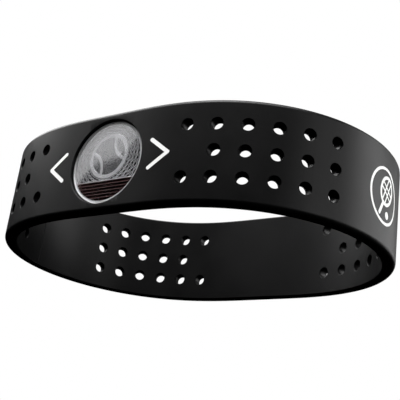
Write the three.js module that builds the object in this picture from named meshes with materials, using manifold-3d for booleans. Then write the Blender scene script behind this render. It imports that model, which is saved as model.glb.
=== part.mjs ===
// Perforated silicone wristband: a closed moulded loop with a foil disc under a clear lens on its
// front and on its back, a chevron either side of each disc, and a ring emblem at each end of the
// oval. Millimetres. +Z runs along the wristband's own axis, and it lies on its lower edge at Z = 0.
// The front disc faces -Y, and the oval is longest along X.
import * as THREE from 'three';
import { mergeVertices } from 'three/addons/utils/BufferGeometryUtils.js';
import Module from 'manifold-3d';

const wasm = await Module();
wasm.setup();

// Loop: its outline seen along Z is a circle with two harmonics added, which make it an oval.
const MEAN_RADIUS = 27;
const OVAL = 0.164;
const BLUNTNESS = -0.013;
const BAND_WIDTH = 14.5;
const WALL = 1.9;
const OUTER_EDGE_RADIUS = 0.6;
const INNER_EDGE_RADIUS = 0.25;
const OUTLINE_STEPS = 108;
const EDGE_STEPS = 2;

// Ventilation holes: four groups, each a grid of columns and rows.
const HOLE_DIAMETER = 1.7;
const HOLE_COLUMNS = 6;
const HOLE_PITCH = 4.07;
const HOLE_ROW_SPACING = 3.7;
const FIRST_COLUMN = 12.7;
const HOLE_SIDES = 12;

// Discs: an adhesive pad, a foil and a clear lens, stacked in a round pocket.
const DISC_DIAMETER = 12.0;
const PAD_THICKNESS = 0.15;
const FOIL_THICKNESS = 0.12;
const LENS_THICKNESS = 0.35;
const LENS_EDGE_RADIUS = 0.1;
const LAYER_GAP = 0.02;
const DISC_POCKET_DEPTH = 1.0;
const DISC_POCKET_GAP = 0.2;
const DISC_SIDES = 48;

// Inlays: white silicone that fills shallow grooves, flush with the outer face.
const GROOVE_DEPTH = 0.5;
const INLAY_DEPTH = 0.4;
const INLAY_SINK = 0.02;
const FIT_GAP = 0.04;
const LINE_WIDTH = 0.56;
const CURVE_STEPS = 10;
const CHEVRON_TIP = 10.35;
const CHEVRON_END = 7.65;
const CHEVRON_HALF_HEIGHT = 2.0;
const EMBLEM_RADIUS = 3.9;
const RING_LINE_WIDTH = 0.42;
const EMBLEM_TILT = -0.5;
const RACKET_HEAD = [1.7, 2.1];
const RACKET_HEAD_CENTRE = 0.95;
const RACKET_GRIP_END = -3.15;
const HEAD_LINE_WIDTH = 0.46;
const STRING_WIDTH = 0.26;
const STRING_SPACING = 0.85;
const BALL_RADIUS = 0.55;
const BALL_PLACE = [1.9, -1.9];

const silicone = { color: 0x141415, roughness: 0.55, metalness: 0 };
const whiteInk = { color: 0xf2f2f0, roughness: 0.6, metalness: 0 };
const foil = { color: 0x9a9a9c, roughness: 0.3, metalness: 0.9 };
const clearPlastic = { color: 0xe8ecee, roughness: 0.08, metalness: 0, transparent: true, opacity: 0.35 };
const adhesive = { color: 0xcfccc0, roughness: 0.8, metalness: 0 };

// The outer face's line, seen along Z, starting at the front disc and running towards +X.
class OuterLine extends THREE.Curve {
  getPoint(t, target = new THREE.Vector3()) {
    const angle = 2 * Math.PI * t - Math.PI / 2;
    const stretch = 1 + OVAL * Math.cos(2 * angle) + BLUNTNESS * Math.cos(4 * angle);
    const radius = MEAN_RADIUS * stretch;
    return target.set(radius * Math.cos(angle), radius * Math.sin(angle), 0);
  }
}

const outerLine = new OuterLine();
outerLine.arcLengthDivisions = 2000;
const LOOP_LENGTH = outerLine.getLength();

// A place on the outer face at mid width: x along the band, y up and z straight out of the face.
function placeOnBand(along) {
  const u = THREE.MathUtils.euclideanModulo(along / LOOP_LENGTH, 1);
  const tangent = outerLine.getTangentAt(u);
  const up = new THREE.Vector3(0, 0, 1);
  const outward = new THREE.Vector3().crossVectors(tangent, up);
  const matrix = new THREE.Matrix4().makeBasis(tangent, up, outward);
  const point = outerLine.getPointAt(u);
  return matrix.setPosition(point.x, point.y, BAND_WIDTH / 2);
}

// The oval line at a depth below the outer face, as points in the XY plane.
function ovalPoints(depth) {
  return Array.from({ length: OUTLINE_STEPS }, (_, i) => {
    const u = i / OUTLINE_STEPS;
    const point = outerLine.getPointAt(u);
    const tangent = outerLine.getTangentAt(u);
    return new THREE.Vector2(point.x - depth * tangent.y, point.y + depth * tangent.x);
  });
}

function solidFrom(geometry) {
  const bare = geometry.clone();
  bare.deleteAttribute('normal');
  bare.deleteAttribute('uv');
  const merged = mergeVertices(bare, 1e-4);
  return new wasm.Manifold(new wasm.Mesh({
    numProp: 3,
    vertProperties: merged.attributes.position.array,
    triVerts: Uint32Array.from(merged.index.array),
  }));
}

function geometryFrom(solid) {
  const mesh = solid.getMesh();
  const geometry = new THREE.BufferGeometry();
  geometry.setAttribute('position', new THREE.BufferAttribute(mesh.vertProperties, 3));
  geometry.setIndex(new THREE.BufferAttribute(mesh.triVerts, 1));
  geometry.computeVertexNormals();
  return geometry;
}

// A closed ring of the band's outline, between two depths below the outer face and two heights.
function ovalRing(outerDepth, innerDepth, bottom, top, edgeRadius = 0) {
  const shape = new THREE.Shape(ovalPoints(outerDepth));
  shape.holes.push(new THREE.Path(ovalPoints(innerDepth)));
  const geometry = new THREE.ExtrudeGeometry(shape, {
    depth: top - bottom - 2 * edgeRadius,
    bevelEnabled: edgeRadius > 0,
    bevelThickness: edgeRadius,
    bevelSize: edgeRadius,
    bevelOffset: -edgeRadius,
    bevelSegments: EDGE_STEPS,
  });
  return geometry.translate(0, 0, bottom + edgeRadius);
}

// A shape drawn on the face and tilted on it, made a solid right through the ink layers.
function markPunch(shape, along, tilt) {
  const geometry = new THREE.ExtrudeGeometry(shape, {
    depth: WALL,
    bevelEnabled: false,
    curveSegments: CURVE_STEPS,
  });
  geometry.rotateZ(tilt);
  geometry.translate(0, 0, -WALL / 2);
  return solidFrom(geometry.applyMatrix4(placeOnBand(along)));
}

function roundPunch(diameter, sides, along, height, from, to) {
  const geometry = new THREE.CylinderGeometry(diameter / 2, diameter / 2, to - from, sides);
  geometry.rotateX(Math.PI / 2);
  geometry.translate(0, height, (from + to) / 2);
  return solidFrom(geometry.applyMatrix4(placeOnBand(along)));
}

// A straight line of ink with round ends, from one point on the face to another.
function strokeShape([x0, y0], [x1, y1], width) {
  const heading = Math.atan2(y1 - y0, x1 - x0);
  const shape = new THREE.Shape();
  shape.absarc(x1, y1, width / 2, heading - Math.PI / 2, heading + Math.PI / 2, false);
  shape.absarc(x0, y0, width / 2, heading + Math.PI / 2, heading + 1.5 * Math.PI, false);
  shape.closePath();
  return shape;
}

function loopShape(centreY, radiusX, radiusY, width) {
  const shape = new THREE.Shape();
  const half = width / 2;
  shape.absellipse(0, centreY, radiusX + half, radiusY + half, 0, 2 * Math.PI, false);
  const inside = new THREE.Path();
  inside.absellipse(0, centreY, radiusX - half, radiusY - half, 0, 2 * Math.PI, true);
  shape.holes.push(inside);
  return shape;
}

function dotShape([x, y], radius) {
  const shape = new THREE.Shape();
  shape.absarc(x, y, radius, 0, 2 * Math.PI, false);
  return shape;
}

// Each mark gives its shapes for a line widened by a given amount, so groove and ink match.
function chevronShapes(side) {
  return (widen) => [-1, 1].map((half) => strokeShape(
    [side * CHEVRON_END, half * CHEVRON_HALF_HEIGHT],
    [side * CHEVRON_TIP, 0],
    LINE_WIDTH + widen,
  ));
}

function ringShapes(widen) {
  return [loopShape(0, EMBLEM_RADIUS, EMBLEM_RADIUS, RING_LINE_WIDTH + widen)];
}

function racketShapes(widen) {
  const [headX, headY] = RACKET_HEAD;
  const strings = [-0.5, 0.5].flatMap((step) => [
    strokeShape([step * STRING_SPACING, RACKET_HEAD_CENTRE - headY],
      [step * STRING_SPACING, RACKET_HEAD_CENTRE + headY], STRING_WIDTH + widen),
    strokeShape([-headX, RACKET_HEAD_CENTRE + step * STRING_SPACING],
      [headX, RACKET_HEAD_CENTRE + step * STRING_SPACING], STRING_WIDTH + widen),
  ]);
  const grip = strokeShape([0, RACKET_HEAD_CENTRE - headY], [0, RACKET_GRIP_END], LINE_WIDTH + widen);
  return [loopShape(RACKET_HEAD_CENTRE, headX, headY, HEAD_LINE_WIDTH + widen), grip, ...strings];
}

function ballShapes(widen) {
  return [dotShape(BALL_PLACE, BALL_RADIUS + widen / 2)];
}

const inkLayer = solidFrom(ovalRing(INLAY_SINK, INLAY_DEPTH, 0, BAND_WIDTH));
const grooveLayer = solidFrom(ovalRing(-WALL / 2, GROOVE_DEPTH, 0, BAND_WIDTH));

function markSolid(mark, widen, layer) {
  const punches = mark.shapes(widen).map((shape) => markPunch(shape, mark.along, mark.tilt));
  const whole = punches.reduce((sum, piece) => sum.add(piece));
  return whole.intersect(layer);
}

const quarter = LOOP_LENGTH / 4;
const discSides = [
  { name: 'front', along: 0 },
  { name: 'rear', along: 2 * quarter },
];
const emblemSides = [
  { name: 'right', along: quarter },
  { name: 'left', along: 3 * quarter },
];

const marks = [];
for (const { name, along } of discSides) {
  marks.push({ name: `${name}_left_chevron`, shapes: chevronShapes(-1), along, tilt: 0 });
  marks.push({ name: `${name}_right_chevron`, shapes: chevronShapes(1), along, tilt: 0 });
}
for (const { name, along } of emblemSides) {
  marks.push({ name: `${name}_emblem_ring`, shapes: ringShapes, along, tilt: 0 });
  marks.push({ name: `${name}_emblem_racket`, shapes: racketShapes, along, tilt: EMBLEM_TILT });
  marks.push({ name: `${name}_emblem_ball`, shapes: ballShapes, along, tilt: EMBLEM_TILT });
}

// The column next to a disc has no hole in its middle row, where the chevron points.
function holePunches() {
  const punches = [];
  for (const { along } of discSides) {
    for (const side of [-1, 1]) {
      for (let column = 0; column < HOLE_COLUMNS; column += 1) {
        const rows = column === 0 ? [-1, 1] : [-1, 0, 1];
        const place = along + side * (FIRST_COLUMN + column * HOLE_PITCH);
        for (const row of rows) {
          punches.push(roundPunch(HOLE_DIAMETER, HOLE_SIDES, place, row * HOLE_ROW_SPACING,
            -2 * WALL, WALL));
        }
      }
    }
  }
  return punches;
}

// The inner half of the wall is added to the whole, because its rims are rounded less.
function bandSolid() {
  const inner = solidFrom(ovalRing(WALL / 2, WALL, 0, BAND_WIDTH, INNER_EDGE_RADIUS));
  let solid = solidFrom(ovalRing(0, WALL, 0, BAND_WIDTH, OUTER_EDGE_RADIUS)).add(inner);
  for (const { along } of discSides) {
    const diameter = DISC_DIAMETER + 2 * DISC_POCKET_GAP;
    solid = solid.subtract(roundPunch(diameter, DISC_SIDES, along, 0, -DISC_POCKET_DEPTH, WALL));
  }
  for (const mark of marks) {
    solid = solid.subtract(markSolid(mark, 2 * FIT_GAP, grooveLayer));
  }
  for (const punchSolid of holePunches()) {
    solid = solid.subtract(punchSolid);
  }
  return solid;
}

function meshOf(name, geometry, finish) {
  const mesh = new THREE.Mesh(geometry, new THREE.MeshStandardMaterial(finish));
  mesh.name = name;
  return mesh;
}

// A round layer of the disc stack, turned about its own axis, with an optional rounded front edge.
function layerGeometry(thickness, edgeRadius = 0) {
  const radius = DISC_DIAMETER / 2;
  const profile = [new THREE.Vector2(0, 0), new THREE.Vector2(radius, 0)];
  const steps = edgeRadius > 0 ? 3 : 0;
  for (let i = 0; i <= steps; i += 1) {
    const turn = steps > 0 ? (i / steps) * (Math.PI / 2) : 0;
    profile.push(new THREE.Vector2(
      radius - edgeRadius + edgeRadius * Math.cos(turn),
      thickness - edgeRadius + edgeRadius * Math.sin(turn),
    ));
  }
  profile.push(new THREE.Vector2(0, thickness));
  return new THREE.LatheGeometry(profile, DISC_SIDES).rotateX(Math.PI / 2);
}

function discStack(name) {
  const stack = new THREE.Group();
  const layers = [
    { part: 'adhesive_pad', thickness: PAD_THICKNESS, edge: 0, finish: adhesive },
    { part: 'foil_disc', thickness: FOIL_THICKNESS, edge: 0, finish: foil },
    { part: 'clear_lens', thickness: LENS_THICKNESS, edge: LENS_EDGE_RADIUS, finish: clearPlastic },
  ];
  let height = -DISC_POCKET_DEPTH;
  for (const { part, thickness, edge, finish } of layers) {
    height += LAYER_GAP;
    const mesh = meshOf(`${name}_${part}`, layerGeometry(thickness, edge), finish);
    mesh.position.z = height;
    stack.add(mesh);
    height += thickness;
  }
  return stack;
}

const wristband = new THREE.Group();
wristband.add(meshOf('band', geometryFrom(bandSolid()), silicone));
for (const { name, along } of discSides) {
  const stack = discStack(name);
  stack.applyMatrix4(placeOnBand(along));
  wristband.add(stack);
}
for (const mark of marks) {
  wristband.add(meshOf(mark.name, geometryFrom(markSolid(mark, 0, inkLayer)), whiteInk));
}

export default wristband;
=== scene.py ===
import math

import bpy
from mathutils import Matrix, Vector


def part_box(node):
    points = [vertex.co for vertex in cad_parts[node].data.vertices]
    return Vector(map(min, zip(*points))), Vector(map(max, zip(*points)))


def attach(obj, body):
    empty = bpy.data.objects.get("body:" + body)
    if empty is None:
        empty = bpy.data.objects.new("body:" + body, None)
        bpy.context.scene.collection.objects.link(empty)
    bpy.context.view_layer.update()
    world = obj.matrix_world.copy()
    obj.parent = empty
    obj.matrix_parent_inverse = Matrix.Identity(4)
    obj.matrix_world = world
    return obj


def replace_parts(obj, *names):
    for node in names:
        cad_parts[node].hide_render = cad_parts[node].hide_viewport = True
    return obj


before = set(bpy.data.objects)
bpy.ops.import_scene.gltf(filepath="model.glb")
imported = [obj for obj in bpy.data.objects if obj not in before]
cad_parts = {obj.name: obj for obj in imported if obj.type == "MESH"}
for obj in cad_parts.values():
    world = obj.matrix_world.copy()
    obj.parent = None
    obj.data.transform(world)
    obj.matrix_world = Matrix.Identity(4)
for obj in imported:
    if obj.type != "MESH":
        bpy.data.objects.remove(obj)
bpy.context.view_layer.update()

# The studio: a pale floor that shows only from above, two overhead soft panels, three low ones to
# the right and behind, one to the left and a weak one that shows in the front disc's foil. The
# camera looks up at the band from below its lower rim and is rolled a little.
band_low, band_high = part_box("band")
band_width = band_high.z - band_low.z
band_middle = Vector((0.0, 0.0, band_width / 2))

camera_place = band_middle + Vector((0.07552, -0.10047, -0.04396))
camera_forward = Vector((-0.5623, 0.7498, 0.3487)).normalized()
camera_roll = math.radians(-7.72)
panel_distance = 0.4
bpy.ops.object.camera_add(location=camera_place)
camera = bpy.context.object
camera.rotation_euler = (
    camera_forward.to_track_quat("-Z", "Y") @ Matrix.Rotation(-camera_roll, 4, "Z").to_quaternion()
).to_euler()
camera.data.sensor_width = 36.0
camera.data.lens = 77.2
camera.data.clip_start = 0.001
bpy.context.scene.camera = camera
bpy.context.scene.view_settings.view_transform = "Standard"

bpy.ops.mesh.primitive_plane_add(size=6.0, location=(0, 0, -0.00005))
floor = bpy.context.object
floor.name = "studio_floor"
floor_look = bpy.data.materials.new("pale_floor")
floor_look.use_nodes = True
nodes, links = floor_look.node_tree.nodes, floor_look.node_tree.links
paper = nodes["Principled BSDF"]
paper.inputs["Base Color"].default_value = (0.8, 0.8, 0.8, 1)
paper.inputs["Roughness"].default_value = 0.9
paper.inputs["Specular IOR Level"].default_value = 0.0
side = nodes.new("ShaderNodeNewGeometry")
rays = nodes.new("ShaderNodeLightPath")
seen = nodes.new("ShaderNodeMath")
seen.operation = "SUBTRACT"
seen.use_clamp = True
clear = nodes.new("ShaderNodeBsdfTransparent")
either = nodes.new("ShaderNodeMixShader")
links.new(rays.outputs["Is Camera Ray"], seen.inputs[0])
links.new(side.outputs["Backfacing"], seen.inputs[1])
links.new(seen.outputs["Value"], either.inputs["Fac"])
links.new(clear.outputs["BSDF"], either.inputs[1])
links.new(paper.outputs["BSDF"], either.inputs[2])
links.new(either.outputs["Shader"], nodes["Material Output"].inputs["Surface"])
floor.data.materials.append(floor_look)

world = bpy.data.worlds.new("white_room")
bpy.context.scene.world = world
world.use_nodes = True
nodes, links = world.node_tree.nodes, world.node_tree.links
fill = nodes["Background"]
fill.inputs["Color"].default_value = (1, 1, 1, 1)
fill.inputs["Strength"].default_value = 0.0
backdrop = nodes.new("ShaderNodeBackground")
backdrop.inputs["Color"].default_value = (1, 1, 1, 1)
backdrop.inputs["Strength"].default_value = 1.0
rays = nodes.new("ShaderNodeLightPath")
room = nodes.new("ShaderNodeMixShader")
links.new(rays.outputs["Is Camera Ray"], room.inputs["Fac"])
links.new(fill.outputs["Background"], room.inputs[1])
links.new(backdrop.outputs["Background"], room.inputs[2])
links.new(room.outputs["Shader"], nodes["World Output"].inputs["Surface"])


def panel(name, azimuth, elevation, size, power, roll=0):
    """A soft panel aimed at the band. Azimuth is counted from +X towards +Y."""
    turn, lift = math.radians(azimuth), math.radians(elevation)
    away = Vector((math.cos(turn) * math.cos(lift), math.sin(turn) * math.cos(lift), math.sin(lift)))
    bpy.ops.object.light_add(type="AREA", location=band_middle + panel_distance * away)
    light = bpy.context.object
    light.name = name
    light.data.shape = "RECTANGLE"
    light.data.size, light.data.size_y = size
    light.data.energy = power
    aim = away.to_track_quat("Z", "Y") @ Matrix.Rotation(math.radians(roll), 4, "Z").to_quaternion()
    light.rotation_euler = aim.to_euler()
    light.visible_camera = False


panel("overhead_left_panel", -113, 65, (0.22, 0.22), 2.7)
panel("overhead_front_panel", -53, 65, (0.22, 0.22), 2.0)
panel("left_panel", -173, 42, (0.22, 0.22), 1.4)
panel("right_panel", 37, 20, (0.22, 0.3), 1.1)
panel("front_right_panel", -8, 16, (0.22, 0.22), 0.5)
panel("back_panel", 67, 8, (0.22, 0.22), 0.34)
panel("disc_panel", -144.2, 31.8, (0.22, 0.22), 0.22, roll=45)

bpy.ops.object.light_add(type="SUN", location=(0, 0, 1))
floor_sun = bpy.context.object
floor_sun.name = "floor_sun"
floor_sun.data.angle = math.radians(60)
floor_sun.data.energy = 3.0
floor_only = bpy.data.collections.new("floor_only")
floor_only.objects.link(floor)
floor_sun.light_linking.receiver_collection = floor_only

# The line of the loop. The band is moulded as an oval: a circle with two harmonics, longest
# between the emblems. Every piece is shaped flat, along a straight strip with X along the face, Y
# into the wall and Z up, and is then bent round this line.
bluntness = -0.013
half_length = (band_high.x - band_low.x) / 2
half_depth = (band_high.y - band_low.y) / 2
mean_radius = (half_length + half_depth) / 2 / (1 + bluntness)
oval = (half_length - half_depth) / 2 / mean_radius
line_steps = 1440
slice_start = 0.37
touch = 0.00001
smooth_angle = math.radians(38)
square_on = 0.9


def oval_point(turn):
    """A point of the outer face's line. A turn of 0 is the front disc, and it grows towards +X."""
    angle = 2 * math.pi * turn - math.pi / 2
    radius = mean_radius * (1 + oval * math.cos(2 * angle) + bluntness * math.cos(4 * angle))
    return Vector((radius * math.cos(angle), radius * math.sin(angle), 0))


line_points = [oval_point(i / line_steps) for i in range(line_steps)]
loop_length = sum((line_points[i] - line_points[i - 1]).length for i in range(line_steps))
disc_places = (0.0, loop_length / 2)
emblem_places = (loop_length / 4, 3 * loop_length / 4)
loop_data = bpy.data.curves.new("loop_line", "CURVE")
loop_data.dimensions = "3D"
spline = loop_data.splines.new("POLY")
spline.points.add(line_steps - 1)
for spline_point, place in zip(spline.points, line_points):
    spline_point.co = (*place, 1)
spline.use_cyclic_u = True
loop_line = bpy.data.objects.new("loop_line", loop_data)
bpy.context.scene.collection.objects.link(loop_line)


def only(piece):
    """Makes a piece the only selected object and the active one."""
    bpy.ops.object.select_all(action="DESELECT")
    piece.select_set(True)
    bpy.context.view_layer.objects.active = piece


def pick(piece, kind, test=lambda element: True):
    """Opens a piece in edit mode with only the VERT, EDGE or FACE elements that pass a test."""
    only(piece)
    bpy.ops.object.mode_set(mode="EDIT")
    bpy.ops.mesh.select_mode(type=kind)
    bpy.ops.mesh.select_all(action="DESELECT")
    bpy.ops.object.mode_set(mode="OBJECT")
    mesh = piece.data
    for element in {"VERT": mesh.vertices, "EDGE": mesh.edges, "FACE": mesh.polygons}[kind]:
        element.select = test(element)
    bpy.ops.object.mode_set(mode="EDIT")


def settle(piece):
    """Leaves edit mode and puts a piece's place, turn and scale into its mesh."""
    if bpy.context.mode != "OBJECT":
        bpy.ops.object.mode_set(mode="OBJECT")
    only(piece)
    bpy.ops.object.transform_apply(location=True, rotation=True, scale=True)
    return piece


def apply_modifier(piece, kind, **settings):
    """Adds a modifier with some settings and applies it."""
    only(piece)
    modifier = piece.modifiers.new(kind.lower(), kind)
    for name, value in settings.items():
        setattr(modifier, name, value)
    bpy.ops.object.modifier_apply(modifier=modifier.name)


def combine(piece, tool, operation):
    """Cuts a tool out of a piece, joins it on or keeps what they share, and deletes the tool."""
    apply_modifier(piece, "BOOLEAN", operation=operation, object=tool, solver="MANIFOLD")
    bpy.data.objects.remove(tool)
    return piece


def bend(piece, name, looks, at=0.0):
    """Bends a flat piece round the loop at a place along it, smooths it, and gives it its look."""
    piece.location.x += at
    settle(piece)
    apply_modifier(piece, "CURVE", object=loop_line, deform_axis="POS_X")
    pick(piece, "VERT")
    bpy.ops.mesh.remove_doubles(threshold=touch / 10)
    bpy.ops.object.mode_set(mode="OBJECT")
    bpy.ops.object.shade_smooth_by_angle(angle=smooth_angle)
    apply_modifier(piece, "WEIGHTED_NORMAL", keep_sharp=True)
    piece.name = name
    piece.data.name = name
    piece.data.materials.clear()
    piece.data.materials.append(looks)
    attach(piece, "root")
    return piece


def slice_along(piece, pitch):
    """Cuts a flat piece into short lengths so that it can bend. No cut meets one of its corners."""
    reach = max(abs(vertex.co.x) for vertex in piece.data.vertices)
    for i in range(-int(reach / pitch), int(reach / pitch) + 1):
        pick(piece, "FACE")
        bpy.ops.mesh.bisect(plane_co=((i + slice_start) * pitch, 0, 0), plane_no=(1, 0, 0))
        bpy.ops.object.mode_set(mode="OBJECT")


def copy_of(piece):
    """A copy of a piece with its own mesh."""
    copy = piece.copy()
    copy.data = piece.data.copy()
    bpy.context.scene.collection.objects.link(copy)
    return copy


# The white marks: silicone ink wiped into moulded grooves and cured just below the face. A chevron
# stands on each side of a disc, and each end has a ring round a racket and a ball. A groove is the
# ink's own shape, drawn a little wider.
line_width = 0.00056
groove_depth = 0.0005
ink_depth = 0.0004
ink_sink = 0.00002
ink_gap = 0.00004
chevron_tip = 0.01035
chevron_end = 0.00765
chevron_half_height = 0.002
emblem_radius = 0.0039
ring_line_width = 0.00042
emblem_tilt = -0.5
racket_head = (0.0017, 0.0021)
racket_head_centre = 0.00095
racket_grip_end = -0.00315
head_line_width = 0.00046
string_width = 0.00026
string_spacing = 0.00085
ball_radius = 0.00055
ball_place = (0.0019, -0.0019)
slice_pitch = 0.0003
stroke_sides = 16
small_sides = 28
racket_sides = 48
large_sides = 96


def disc(centre, radii, sides, front, back):
    """A flat disc or oval plate on the face, between two depths. No corner is right on its axis."""
    bpy.ops.object.select_all(action="DESELECT")
    bpy.ops.mesh.primitive_cylinder_add(vertices=sides, radius=1, depth=back - front,
                                        rotation=(math.pi / 2, math.pi / sides, 0))
    plate = settle(bpy.context.object)
    plate.scale = (radii[0], 1, radii[1])
    plate.location = (centre[0], (front + back) / 2, centre[1])
    return settle(plate)


def stroke(start, end, width, front, back):
    """A straight line with round ends: a disc pulled apart, then turned to its heading."""
    start, end = Vector(start), Vector(end)
    middle = (start + end) / 2
    heading = math.atan2(end.y - start.y, end.x - start.x)
    line = disc((0, 0), (width / 2, width / 2), stroke_sides, front, back)
    for direction in (-1, 1):
        pick(line, "VERT", lambda vertex: vertex.co.x * direction > 0)
        bpy.ops.transform.translate(value=(direction * (end - start).length / 2, 0, 0))
        bpy.ops.object.mode_set(mode="OBJECT")
    line.rotation_euler = (0, -heading, 0)
    line.location = (middle.x, 0, middle.y)
    return settle(line)


def ring(centre, radii, width, sides, front, back):
    """A closed line round an oval: a plate inset on both faces, with the middle bridged out."""
    outer = (radii[0] + width / 2, radii[1] + width / 2)
    line = disc(centre, outer, sides, front, back)
    pick(line, "FACE", lambda face: abs(face.normal.y) > square_on)
    bpy.ops.mesh.inset(thickness=width, use_even_offset=True)
    bpy.ops.mesh.bridge_edge_loops()
    bpy.ops.object.mode_set(mode="OBJECT")
    return line


def chevron(direction, widen, front, back):
    tip = (direction * chevron_tip, 0)
    lines = [stroke((direction * chevron_end, side * chevron_half_height), tip,
                    line_width + widen, front, back) for side in (-1, 1)]
    return combine(lines[0], lines[1], "UNION")


def emblem_ring(widen, front, back):
    radii = (emblem_radius, emblem_radius)
    return ring((0, 0), radii, ring_line_width + widen, large_sides, front, back)


def emblem_racket(widen, front, back):
    reach_x, reach_z = racket_head
    low, high = racket_head_centre - reach_z, racket_head_centre + reach_z
    racket = ring((0, racket_head_centre), racket_head, head_line_width + widen, racket_sides,
                  front, back)
    strokes = [((0, low), (0, racket_grip_end), line_width)]
    for offset in (-string_spacing / 2, string_spacing / 2):
        strokes.append(((offset, low), (offset, high), string_width))
        strokes.append(((-reach_x, racket_head_centre + offset),
                        (reach_x, racket_head_centre + offset), string_width))
    for start, end, width in strokes:
        combine(racket, stroke(start, end, width + widen, front, back), "UNION")
    racket.rotation_euler = (0, -emblem_tilt, 0)
    return settle(racket)


def emblem_ball(widen, front, back):
    ball = disc(ball_place, (ball_radius + widen / 2,) * 2, small_sides, front, back)
    ball.rotation_euler = (0, -emblem_tilt, 0)
    return settle(ball)


def new_group(name, inputs, outputs):
    """A shader node group with named sockets."""
    tree = bpy.data.node_groups.new(name, "ShaderNodeTree")
    for direction, sockets in (("INPUT", inputs), ("OUTPUT", outputs)):
        for socket_name, kind in sockets:
            tree.interface.new_socket(socket_name, in_out=direction, socket_type=kind)
    tree.nodes.new("NodeGroupInput")
    tree.nodes.new("NodeGroupOutput")
    return tree


def feed(tree, socket, value):
    """Gives a socket a plain value, or a link from another socket."""
    if isinstance(value, bpy.types.NodeSocket):
        tree.links.new(value, socket)
    else:
        socket.default_value = value


def reckon(tree, operation, *values):
    """A Math node on some sockets or numbers."""
    node = tree.nodes.new("ShaderNodeMath")
    node.operation = operation
    for socket, value in zip(node.inputs, values):
        feed(tree, socket, value)
    return node.outputs[0]


def blend_colours(tree, share, none, full):
    """A mix of two colours, or of two colour sockets, by a share from 0 to 1."""
    node = tree.nodes.new("ShaderNodeMix")
    node.data_type = "RGBA"
    feed(tree, node.inputs["Factor"], share)
    for socket, value in ((node.inputs[6], none), (node.inputs[7], full)):
        feed(tree, socket, value if isinstance(value, bpy.types.NodeSocket) else (*value, 1))
    return node.outputs[2]


cloud_share = 0.6


def cast_skin():
    """The surface of something cast in a mould: slow clouds of shade and gloss, and a fine grain."""
    tree = new_group("cast_skin", [("Dark", "NodeSocketColor"), ("Light", "NodeSocketColor"),
                                   ("Cloud Scale", "NodeSocketFloat"), ("Grain Scale", "NodeSocketFloat"),
                                   ("Least Roughness", "NodeSocketFloat"),
                                   ("Most Roughness", "NodeSocketFloat")],
                     [("Color", "NodeSocketColor"), ("Roughness", "NodeSocketFloat"),
                      ("Height", "NodeSocketFloat")])
    source, result = tree.nodes["Group Input"], tree.nodes["Group Output"]
    place = tree.nodes.new("ShaderNodeTexCoord").outputs["Object"]
    tones = []
    for scale, detail in (("Cloud Scale", 4.0), ("Grain Scale", 2.0)):
        noise = tree.nodes.new("ShaderNodeTexNoise")
        noise.inputs["Detail"].default_value = detail
        tree.links.new(place, noise.inputs["Vector"])
        tree.links.new(source.outputs[scale], noise.inputs["Scale"])
        tones.append(noise.outputs["Fac"])
    clouds = reckon(tree, "MULTIPLY", tones[0], cloud_share)
    both = reckon(tree, "MULTIPLY_ADD", tones[1], 1 - cloud_share, clouds)
    even = tree.nodes.new("ShaderNodeMapRange")
    for socket, value in (("Value", both), ("From Min", 0.3), ("From Max", 0.7)):
        feed(tree, even.inputs[socket], value)
    colour = blend_colours(tree, even.outputs["Result"], source.outputs["Dark"], source.outputs["Light"])
    span = reckon(tree, "SUBTRACT", source.outputs["Most Roughness"], source.outputs["Least Roughness"])
    gloss = reckon(tree, "MULTIPLY_ADD", span, even.outputs["Result"], source.outputs["Least Roughness"])
    tree.links.new(colour, result.inputs["Color"])
    tree.links.new(gloss, result.inputs["Roughness"])
    tree.links.new(tones[1], result.inputs["Height"])
    return tree


def place_skin(tree, dark, light, scales, roughness):
    """The cast skin in a material, with its own values."""
    node = tree.nodes.new("ShaderNodeGroup")
    node.node_tree = bpy.data.node_groups.get("cast_skin") or cast_skin()
    for name, value in (("Dark", (*dark, 1)), ("Light", (*light, 1)), ("Cloud Scale", scales[0]),
                        ("Grain Scale", scales[1]), ("Least Roughness", roughness[0]),
                        ("Most Roughness", roughness[1])):
        node.inputs[name].default_value = value
    return node


def raise_surface(tree, height, distance, shader):
    """Turns a height from 0 to 1 into the shader's normal."""
    bump = tree.nodes.new("ShaderNodeBump")
    bump.inputs["Strength"].default_value = 1.0
    bump.inputs["Distance"].default_value = distance
    tree.links.new(height, bump.inputs["Height"])
    tree.links.new(bump.outputs["Normal"], shader.inputs["Normal"])


def cast_finish(name, dark, light, scales, roughness, relief, gloss=0.5):
    """A material with the cast skin all over."""
    material = bpy.data.materials.new(name)
    material.use_nodes = True
    tree = material.node_tree
    shader = tree.nodes["Principled BSDF"]
    surface = place_skin(tree, dark, light, scales, roughness)
    tree.links.new(surface.outputs["Color"], shader.inputs["Base Color"])
    tree.links.new(surface.outputs["Roughness"], shader.inputs["Roughness"])
    raise_surface(tree, surface.outputs["Height"], relief, shader)
    shader.inputs["Specular IOR Level"].default_value = gloss
    return material


white_ink = cast_finish("white_ink", (0.86, 0.86, 0.85), (0.95, 0.95, 0.94), (900, 9000),
                        (0.42, 0.58), 0.000008)

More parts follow.
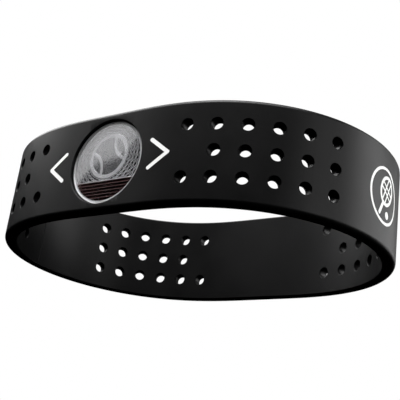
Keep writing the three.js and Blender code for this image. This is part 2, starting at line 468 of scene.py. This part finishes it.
marks = [
    ("left_chevron", lambda *size: chevron(-1, *size), disc_places, ("front", "rear")),
    ("right_chevron", lambda *size: chevron(1, *size), disc_places, ("front", "rear")),
    ("emblem_ring", emblem_ring, emblem_places, ("right", "left")),
    ("emblem_racket", emblem_racket, emblem_places, ("right", "left")),
    ("emblem_ball", emblem_ball, emblem_places, ("right", "left")),
]
grooves = []
for mark_name, shape, places, sides in marks:
    ink = shape(0, ink_sink, ink_depth)
    ink.location.z = band_width / 2
    settle(ink)
    slice_along(ink, slice_pitch)
    groove = shape(2 * ink_gap, -groove_depth, groove_depth)
    groove.location.z = band_width / 2
    settle(groove)
    for place, side_name in zip(places, sides):
        node = f"{side_name}_{mark_name}"
        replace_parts(bend(copy_of(ink), f"{node}_ink", white_ink, place), node)
        cutter = copy_of(groove)
        cutter.location.x = place
        grooves.append(settle(cutter))
    bpy.data.objects.remove(ink)
    bpy.data.objects.remove(groove)

# The band: one piece of black silicone rubber, compression moulded in one shot with its holes,
# pockets and grooves. The rims are round outside and nearly sharp inside. A fine line inside each
# end shows where the mould's insert for the emblem closes.
wall = 0.0019
outer_rim_radius = 0.0006
inner_rim_radius = 0.00025
mouth_radius = 0.00006
mouth_steps = 3
hole_radius = 0.00085
hole_columns = 6
hole_rows = 3
column_pitch = 0.00407
row_pitch = 0.0037
first_column = 0.0127
strip_start = -0.0365
strip_cuts = 16
middle_height = band_width / 2
disc_radius = (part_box("front_clear_lens")[1].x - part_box("front_clear_lens")[0].x) / 2
pocket_radius = disc_radius + 0.0002
pocket_depth = 0.001
insert_line_reach = 0.00425
insert_line_width = 0.0003
insert_line_depth = 0.00013


def flare(tool, direction, radius, at):
    """Widens one end of a round cutter along Y, so that the hole it cuts has a rounded mouth."""
    pick(tool, "FACE", lambda face: face.normal.y * direction > square_on)
    reach, depth = radius, 0.0
    for step in range(1, mouth_steps + 1):
        angle = step / mouth_steps * math.pi / 2
        next_reach = radius + mouth_radius * (1 - math.cos(angle))
        next_depth = mouth_radius * math.sin(angle)
        bpy.ops.mesh.extrude_region_move(
            TRANSFORM_OT_translate={"value": (0, direction * (next_depth - depth), 0)})
        ratio = next_reach / reach
        bpy.ops.transform.resize(value=(ratio, 1, ratio), center_override=at)
        reach, depth = next_reach, next_depth
    bpy.ops.mesh.extrude_region_move(TRANSFORM_OT_translate={"value": (0, direction * wall, 0)})
    bpy.ops.object.mode_set(mode="OBJECT")


def hole_group(along, direction):
    """The cutters of one group: columns by rows, less the middle hole next to the disc."""
    start = along + direction * first_column
    low = middle_height - row_pitch
    tool = disc((start, low), (hole_radius, hole_radius), small_sides, mouth_radius, wall - mouth_radius)
    flare(tool, -1, hole_radius, (start, 0, low))
    flare(tool, 1, hole_radius, (start, 0, low))
    apply_modifier(tool, "ARRAY", count=hole_columns, use_relative_offset=False,
                   use_constant_offset=True, constant_offset_displace=(direction * column_pitch, 0, 0))
    apply_modifier(tool, "ARRAY", count=hole_rows, use_relative_offset=False,
                   use_constant_offset=True, constant_offset_displace=(0, 0, row_pitch))
    pick(tool, "VERT", lambda vertex: abs(vertex.co.x - start) < column_pitch / 2
         and abs(vertex.co.z - middle_height) < row_pitch / 2)
    bpy.ops.mesh.delete(type="VERT")
    bpy.ops.object.mode_set(mode="OBJECT")
    return tool


def length_along(edge):
    """How far an edge of the flat band runs along it."""
    first, last = [band.data.vertices[i].co for i in edge.vertices]
    return abs(first.x - last.x)


def is_rim_corner(edge, outside):
    """Whether an edge of the flat band is one of the long corners of its rims, outside or inside."""
    ends = [band.data.vertices[i].co for i in edge.vertices]
    on_side = all((end.y < wall / 2) == outside for end in ends)
    at_corner = all(min(end.y, wall - end.y) < touch and min(end.z, band_width - end.z) < touch
                    for end in ends)
    return on_side and at_corner and length_along(edge) > wall


bpy.ops.object.select_all(action="DESELECT")
bpy.ops.mesh.primitive_cube_add(size=1, location=(strip_start + loop_length / 2, wall / 2, middle_height))
band = bpy.context.object
band.scale = (loop_length, wall, band_width)
settle(band)
for outside, radius, segments in ((True, outer_rim_radius, 6), (False, inner_rim_radius, 4)):
    pick(band, "EDGE", lambda edge: is_rim_corner(edge, outside))
    bpy.ops.mesh.bevel(offset=radius, segments=segments, profile=0.5)
    bpy.ops.object.mode_set(mode="OBJECT")
for _ in range(2):
    pick(band, "EDGE", lambda edge: length_along(edge) > touch)
    bpy.ops.mesh.subdivide(number_cuts=strip_cuts)
    bpy.ops.object.mode_set(mode="OBJECT")

for groove in grooves:
    combine(band, groove, "DIFFERENCE")
for place in disc_places:
    for direction in (-1, 1):
        combine(band, hole_group(place, direction), "DIFFERENCE")
    pocket = disc((place, middle_height), (pocket_radius, pocket_radius), large_sides,
                  mouth_radius, pocket_depth)
    flare(pocket, -1, pocket_radius, (place, 0, middle_height))
    combine(band, pocket, "DIFFERENCE")
for place in emblem_places:
    bpy.ops.object.select_all(action="DESELECT")
    bpy.ops.mesh.primitive_cylinder_add(vertices=4, radius=1, depth=2 * band_width)
    line = bpy.context.object
    line.scale = (insert_line_width / 2, insert_line_depth, 1)
    line.location = (place + insert_line_reach, wall, middle_height)
    combine(band, settle(line), "DIFFERENCE")

pick(band, "FACE", lambda face: abs(face.normal.x) > square_on
     and min(abs(face.center.x - strip_start), abs(face.center.x - strip_start - loop_length)) < touch)
bpy.ops.mesh.delete(type="FACE")
bpy.ops.object.mode_set(mode="OBJECT")

black_silicone = cast_finish("black_silicone", (0.0014, 0.0014, 0.0015), (0.0024, 0.0024, 0.0025),
                             (220, 6000), (0.36, 0.43), 0.000006, gloss=0.12)
bend(band, "silicone_band", black_silicone)
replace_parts(band, "band")

# The foil disc: metallised film, embossed with a ball, a rosette of fine lines and a striped foot,
# die-cut round and stuck in the pocket on a pad of film adhesive. Its ground is a dark mirror,
# and the embossed lines and the border are frosted, so they catch light from all round.
foil_low, foil_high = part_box("front_foil_disc")
foil_radius = (foil_high.x - foil_low.x) / 2
foil_depths = (0.00069, 0.00081)
pad_depths = (0.00083, 0.00098)
pad_sides = 72
cut_edge_radius = 0.00002
emboss_height = 0.00002
millimetre = 0.001
ball_centre_height = 0.9
ball_line_radius = 3.05
ball_line_width = 0.5
seam_offset = 4.4
seam_radius = 3.0
seam_line_width = 0.4
foot_height = -2.75
border_radius = 5.6
seam_lean = (0.88, 0.48)
rosette_start = 0.35
rosette_waves = 18
rosette_swing = 0.15
rosette_pitch = 0.28
rosette_line_width = 0.09
rosette_strength = 0.5
hatch_pitch = 0.16
hatch_line_width = 0.06
hatch_strength = 0.6
stripe_pitch = 0.24
stripe_line_width = 0.07
stripe_strength = 0.45
stripe_softness = 0.06
foot_line_width = 0.12
foot_softness = 0.04
line_softness = 0.05
border_sink = 0.6
mirror_roughness = 0.08
frost_roughness = 0.5


def face_map(piece, radius):
    """Gives a flat piece a UV map of its face, with the disc's box running from 0 to 1."""
    layer = piece.data.uv_layers.new(name="face")
    for loop in piece.data.loops:
        place = piece.data.vertices[loop.vertex_index].co
        layer.uv[loop.index].vector = (0.5 + place.x / radius / 2,
                                       0.5 + (place.z - middle_height) / radius / 2)


def fade(tree, value, start, end):
    """A smooth fall from 1 to 0 as a value passes from a start to an end."""
    node = tree.nodes.new("ShaderNodeMapRange")
    node.interpolation_type = "SMOOTHSTEP"
    for socket, number in (("Value", value), ("From Min", start), ("From Max", end),
                           ("To Min", 1.0), ("To Max", 0.0)):
        feed(tree, node.inputs[socket], number)
    return node.outputs["Result"]


def foil_print():
    """The embossed pattern, as a mask of its lines, a mask of its foot, and a height."""
    tree = new_group("foil_print", [("Place", "NodeSocketVector")],
                     [("Lines", "NodeSocketFloat"), ("Foot", "NodeSocketFloat"),
                      ("Height", "NodeSocketFloat")])
    source, result = tree.nodes["Group Input"], tree.nodes["Group Output"]
    apart = tree.nodes.new("ShaderNodeSeparateXYZ")
    tree.links.new(source.outputs["Place"], apart.inputs[0])
    reach = foil_radius / millimetre
    x = reckon(tree, "MULTIPLY_ADD", apart.outputs["X"], 2 * reach, -reach)
    y = reckon(tree, "MULTIPLY_ADD", apart.outputs["Y"], 2 * reach, -reach)

    def distance(centre_x, centre_y):
        across = reckon(tree, "POWER", reckon(tree, "ABSOLUTE", reckon(tree, "SUBTRACT", x, centre_x)), 2.0)
        up = reckon(tree, "POWER", reckon(tree, "ABSOLUTE", reckon(tree, "SUBTRACT", y, centre_y)), 2.0)
        return reckon(tree, "SQRT", reckon(tree, "ADD", across, up))

    def line(offset, width, softness=line_softness):
        return fade(tree, reckon(tree, "ABSOLUTE", offset), width / 2, width / 2 + softness)

    from_centre = distance(0.0, 0.0)
    from_ball = distance(0.0, ball_centre_height)
    inside_ball = fade(tree, from_ball, ball_line_radius, ball_line_radius + line_softness)
    motif = line(reckon(tree, "SUBTRACT", from_ball, ball_line_radius), ball_line_width)
    for side in (-1, 1):
        from_seam = distance(side * seam_offset * seam_lean[0],
                             ball_centre_height + side * seam_offset * seam_lean[1])
        seam = line(reckon(tree, "SUBTRACT", from_seam, seam_radius), seam_line_width)
        motif = reckon(tree, "MAXIMUM", motif, reckon(tree, "MULTIPLY", seam, inside_ball))

    bearing = reckon(tree, "ARCTAN2", reckon(tree, "SUBTRACT", y, ball_centre_height), x)
    rosette = 0.0
    for side in (-1, 1):
        wave = reckon(tree, "SINE", reckon(tree, "MULTIPLY", bearing, rosette_waves))
        swung = reckon(tree, "MULTIPLY_ADD", wave, side * rosette_swing, from_ball)
        offset = reckon(tree, "PINGPONG", swung, rosette_pitch)
        rosette = reckon(tree, "MAXIMUM", rosette, line(offset, rosette_line_width))
    start = ball_line_radius + rosette_start
    inside_rosette = fade(tree, from_ball, start - line_softness, start + line_softness)
    ground = reckon(tree, "MULTIPLY", reckon(tree, "SUBTRACT", 1.0, inside_rosette), rosette)
    hatch = line(reckon(tree, "PINGPONG", reckon(tree, "ADD", x, y), hatch_pitch), hatch_line_width)
    hatch = reckon(tree, "MULTIPLY", reckon(tree, "MULTIPLY", hatch, inside_ball), hatch_strength)
    ground = reckon(tree, "MULTIPLY", reckon(tree, "MAXIMUM", ground, hatch), rosette_strength)

    foot = fade(tree, y, foot_height, foot_height + foot_softness)
    from_foot = reckon(tree, "PINGPONG", reckon(tree, "SUBTRACT", y, foot_height), stripe_pitch)
    stripes = reckon(tree, "MULTIPLY", line(from_foot, stripe_line_width, stripe_softness), stripe_strength)
    edge_line = line(reckon(tree, "SUBTRACT", y, foot_height + foot_softness / 2), foot_line_width)
    border = reckon(tree, "SUBTRACT", 1.0, fade(
        tree, from_centre, border_radius, border_radius + line_softness))
    upper = reckon(tree, "MULTIPLY", reckon(tree, "MAXIMUM", motif, ground),
                   reckon(tree, "SUBTRACT", 1.0, foot))
    lines = reckon(tree, "MAXIMUM", upper, reckon(tree, "MULTIPLY", foot, stripes))
    lines = reckon(tree, "MAXIMUM", reckon(tree, "MAXIMUM", lines, edge_line), border)
    tree.links.new(lines, result.inputs["Lines"])
    tree.links.new(reckon(tree, "MULTIPLY", foot, reckon(tree, "SUBTRACT", 1.0, border)),
                   result.inputs["Foot"])
    tree.links.new(reckon(tree, "MULTIPLY_ADD", border, -border_sink, lines), result.inputs["Height"])
    return tree


embossed_foil = bpy.data.materials.new("embossed_foil")
embossed_foil.use_nodes = True
tree = embossed_foil.node_tree
metal = tree.nodes["Principled BSDF"]
metal.inputs["Metallic"].default_value = 1.0
face_place = tree.nodes.new("ShaderNodeUVMap")
face_place.uv_map = "face"
print_nodes = tree.nodes.new("ShaderNodeGroup")
print_nodes.node_tree = foil_print()
tree.links.new(face_place.outputs["UV"], print_nodes.inputs["Place"])
silver = blend_colours(tree, print_nodes.outputs["Lines"], (0.2, 0.2, 0.21), (0.23, 0.23, 0.24))
foot_red = blend_colours(tree, print_nodes.outputs["Lines"], (0.04, 0.014, 0.014), (0.09, 0.06, 0.062))
colour = blend_colours(tree, print_nodes.outputs["Foot"], silver, foot_red)
cloud = place_skin(tree, (0.85, 0.85, 0.85), (1, 1, 1), (400, 3000), (0, 1))
whole = tree.nodes.new("ShaderNodeMix")
whole.data_type = "RGBA"
whole.blend_type = "MULTIPLY"
whole.inputs["Factor"].default_value = 1.0
tree.links.new(colour, whole.inputs[6])
tree.links.new(cloud.outputs["Color"], whole.inputs[7])
tree.links.new(whole.outputs[2], metal.inputs["Base Color"])
roughness = reckon(tree, "MULTIPLY_ADD", print_nodes.outputs["Lines"], frost_roughness, mirror_roughness)
tree.links.new(roughness, metal.inputs["Roughness"])
raise_surface(tree, print_nodes.outputs["Height"], emboss_height, metal)

adhesive_film = cast_finish("adhesive_film", (0.55, 0.46, 0.28), (0.68, 0.6, 0.42),
                            (700, 5000), (0.3, 0.5), 0.00001)


def die_cut(part, depths, sides, looks):
    """One round layer of the stack, cut flat, then bent into the front pocket and the rear one."""
    stock = disc((0, middle_height), (foil_radius, foil_radius), sides, *depths)
    pick(stock, "EDGE", lambda edge: abs(stock.data.vertices[edge.vertices[0]].co.y
                                         - stock.data.vertices[edge.vertices[1]].co.y) < touch)
    bpy.ops.mesh.bevel(offset=cut_edge_radius, segments=2, profile=0.5)
    bpy.ops.object.mode_set(mode="OBJECT")
    slice_along(stock, slice_pitch)
    face_map(stock, foil_radius)
    for place, side_name in zip(disc_places, ("front", "rear")):
        layer = bend(copy_of(stock), f"{side_name}_{part}_cut", looks, place)
        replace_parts(layer, f"{side_name}_{part}")
    bpy.data.objects.remove(stock)


die_cut("adhesive_pad", pad_depths, pad_sides, adhesive_film)
die_cut("foil_disc", foil_depths, large_sides, embossed_foil)

# The lens: clear casting resin poured over the foil and cured. It stops a little below the face,
# and its rounded edge is left frosted by the mould and tinted dark grey as painted shade, which dims
# the light through the edge. The frost and the painted shade fade in between two distances on the face map,
# where the edge is at 0.5.
lens_depths = (0.00032, 0.00067)
lens_edge_radius = 0.0001
lens_edge_roughness = 0.5
clear_until = 0.478
frosted_and_shaded_from = 0.488
lens_look = bpy.data.materials.new("clear_resin")
lens_look.use_nodes = True
nodes, links = lens_look.node_tree.nodes, lens_look.node_tree.links
resin = nodes["Principled BSDF"]
resin.inputs["Base Color"].default_value = (1, 1, 1, 1)
resin.inputs["IOR"].default_value = 1.5
resin.inputs["Transmission Weight"].default_value = 1.0
surface = place_skin(lens_look.node_tree, (1, 1, 1), (1, 1, 1), (300, 2500), (0.02, 0.06))
face_place = nodes.new("ShaderNodeUVMap")
face_place.uv_map = "face"
from_centre = nodes.new("ShaderNodeVectorMath")
from_centre.operation = "DISTANCE"
from_centre.inputs[1].default_value = (0.5, 0.5, 0)
links.new(face_place.outputs["UV"], from_centre.inputs[0])
clear_share = fade(lens_look.node_tree, from_centre.outputs["Value"], clear_until, frosted_and_shaded_from)
frost = reckon(lens_look.node_tree, "MULTIPLY_ADD", clear_share, -lens_edge_roughness, lens_edge_roughness)
links.new(reckon(lens_look.node_tree, "ADD", surface.outputs["Roughness"], frost),
          resin.inputs["Roughness"])
# Painted shade: the frosted edge's colour is dark grey, so less light comes through it; the middle stays
# white.
links.new(blend_colours(lens_look.node_tree, clear_share, (0.22, 0.22, 0.23), (1, 1, 1)),
          resin.inputs["Base Color"])
rays = nodes.new("ShaderNodeLightPath")
clear = nodes.new("ShaderNodeBsdfTransparent")
either = nodes.new("ShaderNodeMixShader")
links.new(rays.outputs["Is Shadow Ray"], either.inputs["Fac"])
links.new(resin.outputs["BSDF"], either.inputs[1])
links.new(clear.outputs["BSDF"], either.inputs[2])
links.new(either.outputs["Shader"], nodes["Material Output"].inputs["Surface"])

lens = disc((0, middle_height), (disc_radius, disc_radius), large_sides, *lens_depths)
pick(lens, "EDGE", lambda edge: all(
    lens.data.vertices[i].co.y < lens_depths[0] + lens_edge_radius for i in edge.vertices))
bpy.ops.mesh.bevel(offset=lens_edge_radius, segments=4, profile=0.5)
bpy.ops.object.mode_set(mode="OBJECT")
slice_along(lens, slice_pitch)
face_map(lens, disc_radius)
for place, side_name in zip(disc_places, ("front", "rear")):
    cast = bend(copy_of(lens), f"{side_name}_clear_lens_resin", lens_look, place)
    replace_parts(cast, f"{side_name}_clear_lens")
bpy.data.objects.remove(lens)

bpy.data.objects.remove(loop_line)
